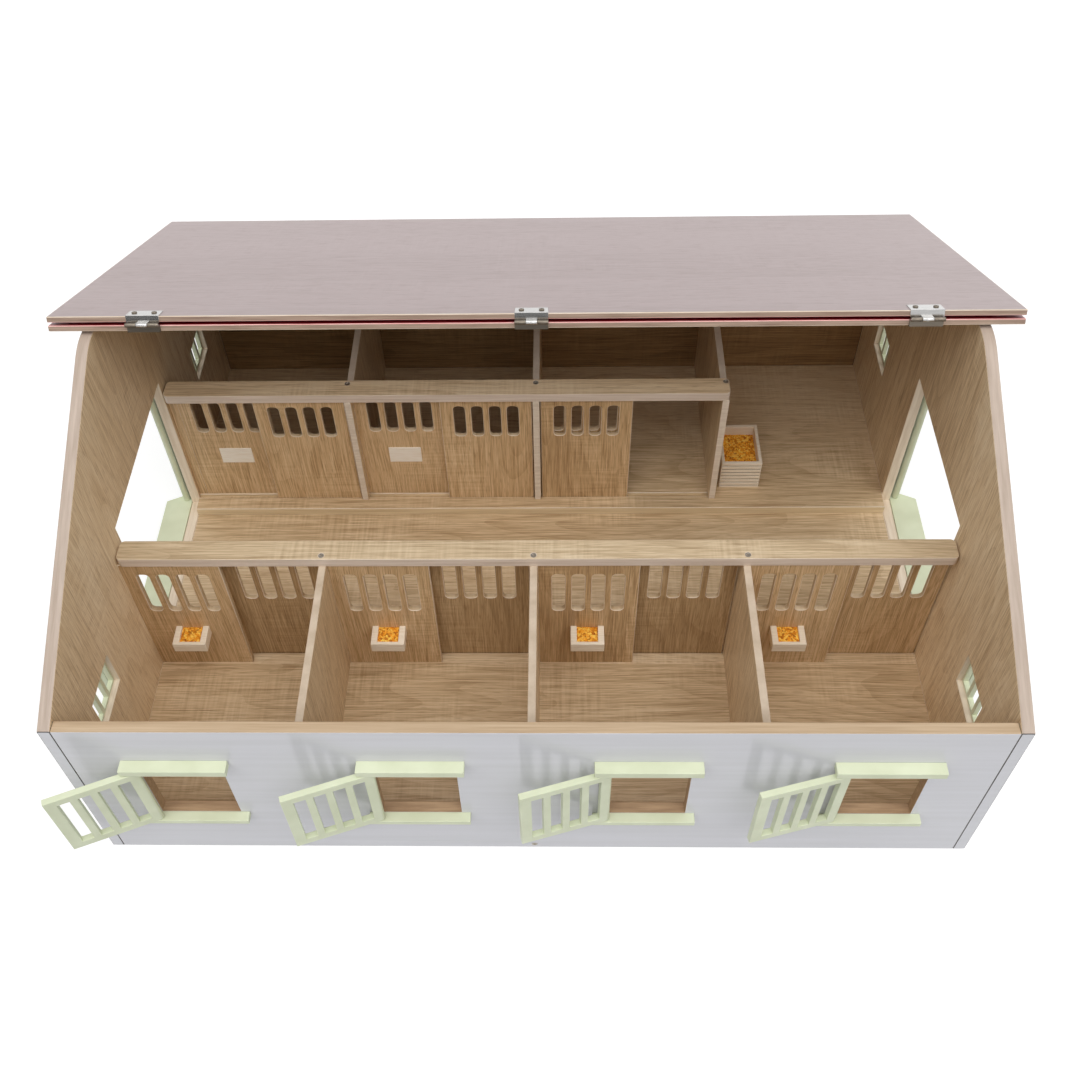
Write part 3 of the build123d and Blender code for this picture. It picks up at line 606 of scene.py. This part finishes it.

# ---------------------------------------------------------------------------------------------
# Stall fronts. A fixed screen and a sliding door for each stall, 5 mm and 4 mm board with
# upright grain and four routed slots. The router leaves the slots' rims paler than the face. The
# oak of the fronts is painted darker as painted shade: more in the front row, most on its three
# doors. A plain post closes the back row's left end.
# ---------------------------------------------------------------------------------------------

# painted shade: the stall fronts take a darker, more saturated oak than the floors, the front row's darker
# still, for the shade they stand in
back_row_oak = oak_decor(
    "oak_decor_back_row", "Z", "X", "#EACFA7", "#D0AE82", "#977349", plank=0.0815, plank_start=-0.331
)
front_row_oak = oak_decor(
    "oak_decor_front_row", "Z", "X", "#E8CCA5", "#CAA87C", "#936F47", plank=0.0815, plank_start=-0.331
)
# painted shade: the front-row doors, set back under the beam, take the darkest oak
door_oak_painted_shade = oak_decor(
    "oak_decor_doors_painted_shade", "Z", "X", "#CFB189", "#B09067", "#7E5D39", plank=0.0815, plank_start=-0.331
)
doors_in_painted_shade = ("front_door_1", "front_door_2", "front_door_3")
routed_rim = edge_band("routed_rim", "#DCC6A6", "#BFA37D", (40.0, 40.0, 400.0))
front_easing = 0.0004
for node in [n for n in frame["nodes"] if "_screen_" in n or "_door_" in n]:
    board_oak = front_row_oak if node.startswith("front") else back_row_oak
    if node in doors_in_painted_shade:
        board_oak = door_oak_painted_shade
    eased_copy(
        node,
        front_easing,
        [((0, 1, 0), board_oak), ((0, -1, 0), board_oak)],
        routed_rim,
        [((0, 1, 0), painted_arris_highlight), ((0, -1, 0), painted_arris_highlight)],
    )

eased_copy(
    "end_post",
    front_easing,
    [((0, 1, 0), back_row_oak), ((0, -1, 0), back_row_oak), ((1, 0, 0), partition_oak)],
    routed_rim,
)

# ---------------------------------------------------------------------------------------------
# Troughs, feed crate and name plates. Small pieces of plain pale birch, sanded and unpainted,
# glued to the screens and doors or standing on the floor. The grooves that run round the crate
# are painted dark brown as painted shade.
# ---------------------------------------------------------------------------------------------


def birch_wood(name, pale, dark):
    """Sanded birch: creamy and even, with faint long fibres and hardly any gloss."""
    material, tree = new_material(name)
    place = add_node(tree, "ShaderNodeTexCoord")
    fibre_place = add_node(
        tree, "ShaderNodeMapping", {"Vector": place.outputs["Object"], "Scale": (60.0, 900.0, 900.0)}
    )
    fibres = add_node(
        tree,
        "ShaderNodeTexNoise",
        {"Vector": fibre_place.outputs[0], "Scale": 1.0, "Detail": 3.0, "Roughness": 0.6},
    )
    colour = add_node(tree, "ShaderNodeValToRGB", {"Fac": fibres.outputs[0]})
    colour.color_ramp.elements[0].position = 0.3
    colour.color_ramp.elements[0].color = linear(dark)
    colour.color_ramp.elements[1].position = 0.7
    colour.color_ramp.elements[1].color = linear(pale)
    relief = add_node(
        tree, "ShaderNodeBump", {"Height": fibres.outputs[0], "Strength": 0.3, "Distance": 0.00005}
    )
    skin = add_node(
        tree,
        "ShaderNodeBsdfPrincipled",
        {
            "Base Color": colour.outputs["Color"],
            "Roughness": 0.62,
            "IOR": 1.5,
            "Normal": relief.outputs[0],
        },
    )
    add_node(tree, "ShaderNodeOutputMaterial", {"Surface": skin.outputs[0]})
    return material


birch = birch_wood("sanded_birch", "#F6EAD8", "#E6D5BC")
pale_birch = birch_wood("pale_birch", "#FFF8EC", "#F4E8D6")
# painted shade: dark brown birch for the bottoms of the crate's grooves, standing in for the shade inside
# them
painted_groove_shade = birch_wood("painted_groove_shade", "#8A765C", "#6E5B44")
trough_easing = 0.0004
plate_easing = 0.0002
crate_easing = 0.00025
eased_copy("feed_troughs", trough_easing, [], birch)
eased_copy("name_plates", plate_easing, [], pale_birch)
crate_low, crate_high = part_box("feed_crate")
groove_depth = 0.0004  # less than the grooves are deep
crate_sides = [
    ((1, 0, 0), crate_high.x),
    ((-1, 0, 0), -crate_low.x),
    ((0, 1, 0), crate_high.y),
    ((0, -1, 0), -crate_low.y),
]
crate_rules = [(outward, birch, reach - groove_depth) for outward, reach in crate_sides]
# the groove bottoms, lying deeper, take the painted shade
crate_rules += [(outward, painted_groove_shade, reach - 3 * groove_depth) for outward, reach in crate_sides]
eased_copy("feed_crate", crate_easing, crate_rules, birch)

# ---------------------------------------------------------------------------------------------
# Feed. Coarse orange granules heaped in the troughs and the crate: each heap is a slightly
# mounded bed with grains thrown over it.
# ---------------------------------------------------------------------------------------------


def solid_boxes(node):
    """The lowest and highest corners of each separate solid in a frame part."""
    solid = bmesh.new()
    solid.from_mesh(frame["nodes"][node].data)
    bmesh.ops.remove_doubles(solid, verts=solid.verts, dist=weld_distance)
    left = set(solid.verts)
    boxes = []
    while left:
        found = [left.pop()]
        for vert in found:
            for edge in vert.link_edges:
                other = edge.other_vert(vert)
                if other in left:
                    left.remove(other)
                    found.append(other)
        low = Vector([min(v.co[i] for v in found) for i in range(3)])
        high = Vector([max(v.co[i] for v in found) for i in range(3)])
        boxes.append((low, high))
    solid.free()
    return sorted(boxes, key=lambda box: tuple(box[0]))


feed_grain_size = 0.0016
feed_grains_per_area = 800000.0
feed_seed = 5
feed_mound = 0.0012
steps = 14
bed = bmesh.new()
for low, high in solid_boxes("feed_portions"):
    rows = []
    for i in range(steps + 1):
        row = []
        for j in range(steps + 1):
            u, v = i / steps, j / steps
            rise = feed_mound * (sin(pi * u) * sin(pi * v)) ** 0.6
            row.append(
                bed.verts.new(
                    (low.x + u * (high.x - low.x), low.y + v * (high.y - low.y), high.z - feed_mound + rise)
                )
            )
        rows.append(row)
    for i in range(steps):
        for j in range(steps):
            bed.faces.new((rows[i][j], rows[i + 1][j], rows[i + 1][j + 1], rows[i][j + 1]))
    rim = [rows[i][0] for i in range(steps + 1)]
    rim += [rows[steps][j] for j in range(1, steps + 1)]
    rim += [rows[i][steps] for i in range(steps - 1, -1, -1)]
    rim += [rows[0][j] for j in range(steps - 1, 0, -1)]
    foot = [bed.verts.new((v.co.x, v.co.y, low.z)) for v in rim]
    for k in range(len(rim)):
        after = (k + 1) % len(rim)
        bed.faces.new((rim[after], rim[k], foot[k], foot[after]))
    bed.faces.new(list(reversed(foot)))
bmesh.ops.recalc_face_normals(bed, faces=bed.faces)
bed_mesh = bpy.data.meshes.new("feed_heaps")
bed.to_mesh(bed_mesh)
bed.free()


def feed_finish(name):
    """Crushed dyed granules: orange with browner and yellower grains, dull."""
    material, tree = new_material(name)
    place = add_node(tree, "ShaderNodeTexCoord")
    grains = add_node(
        tree,
        "ShaderNodeTexVoronoi",
        {"Vector": place.outputs["Object"], "Scale": 1 / feed_grain_size},
    )
    shade = add_node(tree, "ShaderNodeSeparateColor", {0: grains.outputs["Color"]})
    colour = add_node(tree, "ShaderNodeValToRGB", {"Fac": shade.outputs[0]})
    colour.color_ramp.elements[0].position = 0.0
    colour.color_ramp.elements[0].color = linear("#B8660E")
    colour.color_ramp.elements[1].position = 1.0
    colour.color_ramp.elements[1].color = linear("#FFDC66")
    colour.color_ramp.elements.new(0.5).color = linear("#F6A822")
    skin = add_node(
        tree,
        "ShaderNodeBsdfPrincipled",
        {"Base Color": colour.outputs["Color"], "Roughness": 0.7, "IOR": 1.5},
    )
    add_node(tree, "ShaderNodeOutputMaterial", {"Surface": skin.outputs[0]})
    return material


def add_input(tree, name, kind, value):
    """A named input of a geometry tree, with its first value."""
    socket = tree.interface.new_socket(name, in_out="INPUT", socket_type=kind)
    socket.default_value = value
    return socket.identifier


feed_granules = feed_finish("orange_feed_granules")
heap = bpy.data.node_groups.new("feed_heap", "GeometryNodeTree")
heap.interface.new_socket("Heap", in_out="INPUT", socket_type="NodeSocketGeometry")
heap.interface.new_socket("Feed", in_out="OUTPUT", socket_type="NodeSocketGeometry")
size_input = add_input(heap, "Grain size", "NodeSocketFloat", feed_grain_size)
density_input = add_input(heap, "Grains per square metre", "NodeSocketFloat", feed_grains_per_area)
seed_input = add_input(heap, "Seed", "NodeSocketInt", feed_seed)
given = add_node(heap, "NodeGroupInput")
upward = add_node(heap, "GeometryNodeInputNormal")
facing = add_node(heap, "ShaderNodeSeparateXYZ", {0: upward.outputs[0]})
on_top = add_node(heap, "FunctionNodeCompare", {0: facing.outputs["Z"], 1: 0.5}, operation="GREATER_THAN")
strewn = add_node(
    heap,
    "GeometryNodeDistributePointsOnFaces",
    {
        "Mesh": given.outputs["Heap"],
        "Selection": on_top.outputs[0],
        "Density": given.outputs["Grains per square metre"],
        "Seed": given.outputs["Seed"],
    },
)
grain = add_node(heap, "GeometryNodeMeshIcoSphere", {"Radius": 0.5, "Subdivisions": 1})
turn = add_node(
    heap,
    "FunctionNodeRandomValue",
    {"Min": (0.0, 0.0, 0.0), "Max": (2 * pi, 2 * pi, 2 * pi), "Seed": given.outputs["Seed"]},
    data_type="FLOAT_VECTOR",
)
stretch = add_node(
    heap,
    "FunctionNodeRandomValue",
    {"Min": (0.55, 0.5, 0.45), "Max": (1.25, 1.0, 0.8), "Seed": given.outputs["Seed"]},
    data_type="FLOAT_VECTOR",
)
sized = add_node(
    heap,
    "ShaderNodeVectorMath",
    {0: stretch.outputs["Value"], "Scale": given.outputs["Grain size"]},
    operation="SCALE",
)
placed = add_node(
    heap,
    "GeometryNodeInstanceOnPoints",
    {
        "Points": strewn.outputs["Points"],
        "Instance": grain.outputs["Mesh"],
        "Rotation": turn.outputs["Value"],
        "Scale": sized.outputs[0],
    },
)
solid_grains = add_node(heap, "GeometryNodeRealizeInstances", {0: placed.outputs[0]})
joined = add_node(heap, "GeometryNodeJoinGeometry")
heap.links.new(solid_grains.outputs[0], joined.inputs[0])
heap.links.new(given.outputs["Heap"], joined.inputs[0])
dyed = add_node(
    heap, "GeometryNodeSetMaterial", {"Geometry": joined.outputs[0], "Material": feed_granules}
)
add_node(heap, "NodeGroupOutput", {"Feed": dyed.outputs[0]})
feed = bpy.data.objects.new("feed_heaps", bed_mesh)
scene.collection.objects.link(feed)
growth = feed.modifiers.new("grains", "NODES")
growth.node_group = heap
growth[size_input] = feed_grain_size
growth[density_input] = feed_grains_per_area
growth[seed_input] = feed_seed
feed.data = bpy.data.meshes.new_from_object(feed.evaluated_get(bpy.context.evaluated_depsgraph_get()))
feed.modifiers.clear()
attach(feed, "house")
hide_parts("feed_portions")

# ---------------------------------------------------------------------------------------------
# Green trim. Heads and sills of the four windows, the barred shutters, and the gates with their
# boards and the gable grilles: solid wood and board, sprayed pale green in satin paint.
# ---------------------------------------------------------------------------------------------


def green_paint(name):
    """Pale green satin spray paint: a fine orange-peel skin, a touch paler where it is thin."""
    material, tree = new_material(name)
    place = add_node(tree, "ShaderNodeTexCoord")
    peel = add_node(
        tree, "ShaderNodeTexNoise", {"Vector": place.outputs["Object"], "Scale": 700.0, "Detail": 2.0}
    )
    cloud = add_node(
        tree, "ShaderNodeTexNoise", {"Vector": place.outputs["Object"], "Scale": 45.0, "Detail": 2.0}
    )
    colour = add_node(tree, "ShaderNodeValToRGB", {"Fac": cloud.outputs[0]})
    colour.color_ramp.elements[0].position = 0.3
    colour.color_ramp.elements[0].color = linear("#D6DCBC")
    colour.color_ramp.elements[1].position = 0.7
    colour.color_ramp.elements[1].color = linear("#E2E8CA")
    relief = add_node(
        tree, "ShaderNodeBump", {"Height": peel.outputs[0], "Strength": 0.3, "Distance": 0.00006}
    )
    skin = add_node(
        tree,
        "ShaderNodeBsdfPrincipled",
        {
            "Base Color": colour.outputs["Color"],
            "Roughness": 0.38,
            "IOR": 1.48,
            "Normal": relief.outputs[0],
        },
    )
    add_node(tree, "ShaderNodeOutputMaterial", {"Surface": skin.outputs[0]})
    return material


trim_paint = green_paint("pale_green_paint")
trim_easing = 0.00035
trim_nodes = ["window_heads", "window_sills"] + [f"shutter_{i}" for i in (1, 2, 3, 4)]
for side_name in ("left", "right"):
    trim_nodes += [f"gate_sill_{side_name}", f"gate_head_{side_name}", f"window_grilles_{side_name}"]
    trim_nodes += [f"gate_leaf_{side_name}_front", f"gate_leaf_{side_name}_rear"]
for node in trim_nodes:
    eased_copy(node, trim_easing, [], trim_paint)

# ---------------------------------------------------------------------------------------------
# Roof. Two 4.5 mm panels, hinged at the ridge so that the front one folds back over the other.
# The weather side is lacquered deep red, the inner side keeps a pale rosy grey oak decor, and
# the cut edges show the brown core between the two arrises.
# ---------------------------------------------------------------------------------------------

roof_pitch = radians(24.5)
back_slope_up = (0, sin(roof_pitch), cos(roof_pitch))
roof_inner = oak_decor(
    "rosy_oak_decor",
    "X",
    "Y",
    "#BCABAA",
    "#B09F9E",
    "#95837F",
    plank=0.075,
    plank_start=0.02,
    figure_depth=0.45,
)


def red_lacquer(name):
    """Deep red lacquer on board: smooth and fairly glossy, with the grain of the wood below just
    showing as fine lengthwise ripples."""
    material, tree = new_material(name)
    place = add_node(tree, "ShaderNodeTexCoord")
    ripple_place = add_node(
        tree, "ShaderNodeMapping", {"Vector": place.outputs["Object"], "Scale": (12.0, 500.0, 500.0)}
    )
    ripples = add_node(
        tree, "ShaderNodeTexNoise", {"Vector": ripple_place.outputs[0], "Scale": 1.0, "Detail": 3.0}
    )
    colour = add_node(tree, "ShaderNodeValToRGB", {"Fac": ripples.outputs[0]})
    colour.color_ramp.elements[0].position = 0.3
    colour.color_ramp.elements[0].color = linear("#8C1420")
    colour.color_ramp.elements[1].position = 0.7
    colour.color_ramp.elements[1].color = linear("#A01C28")
    relief = add_node(
        tree, "ShaderNodeBump", {"Height": ripples.outputs[0], "Strength": 0.25, "Distance": 0.00005}
    )
    skin = add_node(
        tree,
        "ShaderNodeBsdfPrincipled",
        {
            "Base Color": colour.outputs["Color"],
            "Roughness": 0.3,
            "IOR": 1.5,
            "Normal": relief.outputs[0],
        },
    )
    add_node(tree, "ShaderNodeOutputMaterial", {"Surface": skin.outputs[0]})
    return material


roof_red = red_lacquer("deep_red_lacquer")
roof_core = edge_band("roof_board_core", "#B59C89", "#8C7363", (20.0, 600.0, 600.0))
# painted highlight: pale pink on the arrises of the red side, standing in for the light that strikes them
painted_red_arris_highlight = edge_band("pink_arris_painted_highlight", "#FFD0C8", "#E3A29C", (20.0, 300.0, 300.0))
back_slope_down = tuple(-c for c in back_slope_up)
roof_easing = 0.0006
for node, weather_side, inner_side in (
    ("roof_back_panel", back_slope_up, back_slope_down),
    ("roof_front_panel", back_slope_down, back_slope_up),
):
    eased_copy(
        node,
        roof_easing,
        [(weather_side, roof_red), (inner_side, roof_inner)],
        roof_core,
        [(weather_side, painted_red_arris_highlight), (inner_side, painted_arris_highlight)],
    )

# ---------------------------------------------------------------------------------------------
# Ridge hinges and fasteners. Three pressed nickel-plated hinges, and steel screws and pivot
# pins. The back leaves take a darker nickel than the front ones as painted shade; the hinge screws
# are dull dark steel and the wood screws zinc plated, both with cross recesses.
# ---------------------------------------------------------------------------------------------


gloss_spread = 0.03


def plated_metal(name, pale, dark, roughness):
    """Plated steel with a fine brushed grain."""
    material, tree = new_material(name)
    place = add_node(tree, "ShaderNodeTexCoord")
    brushed_place = add_node(
        tree, "ShaderNodeMapping", {"Vector": place.outputs["Object"], "Scale": (150.0, 2500.0, 2500.0)}
    )
    brushed = add_node(
        tree, "ShaderNodeTexNoise", {"Vector": brushed_place.outputs[0], "Scale": 1.0, "Detail": 2.0}
    )
    colour = add_node(tree, "ShaderNodeValToRGB", {"Fac": brushed.outputs[0]})
    colour.color_ramp.elements[0].color = linear(dark)
    colour.color_ramp.elements[1].color = linear(pale)
    gloss = add_node(
        tree,
        "ShaderNodeMapRange",
        {"Value": brushed.outputs[0], "To Min": roughness - gloss_spread, "To Max": roughness + gloss_spread},
    )
    skin = add_node(
        tree,
        "ShaderNodeBsdfPrincipled",
        {"Base Color": colour.outputs["Color"], "Metallic": 1.0, "Roughness": gloss.outputs[0]},
    )
    add_node(tree, "ShaderNodeOutputMaterial", {"Surface": skin.outputs[0]})
    return material


nickel = plated_metal("nickel_plate", "#D0CFCD", "#B9B8B6", 0.24)
# painted shade and painted reflection: the back leaves take a darker, browner nickel for the shade and dark
# reflection under the folded roof
nickel_painted_shade = plated_metal("nickel_painted_shade", "#8A8175", "#6C6459", 0.34)
screw_steel = plated_metal("dull_bronzed_steel", "#8C8275", "#5E564B", 0.42)
zinc_plate = plated_metal("zinc_plate", "#C9C2B6", "#9C948A", 0.34)
leaf_easing = 0.00018
pin_easing = 0.0002
screw_easing = 0.00015
eased_copy("hinge_leaves_front", leaf_easing, [], nickel, segments=1)
eased_copy("hinge_leaves_back", leaf_easing, [], nickel_painted_shade, segments=1)
eased_copy("hinge_pins", pin_easing, [], nickel, segments=1)
for node, steel in (
    ("hinge_screws_back", screw_steel),
    ("hinge_screws_front", screw_steel),
    ("wood_screws", zinc_plate),
    ("shutter_pins", screw_steel),
    ("gate_pins", screw_steel),
):
    eased_copy(node, screw_easing, [], steel, segments=1)
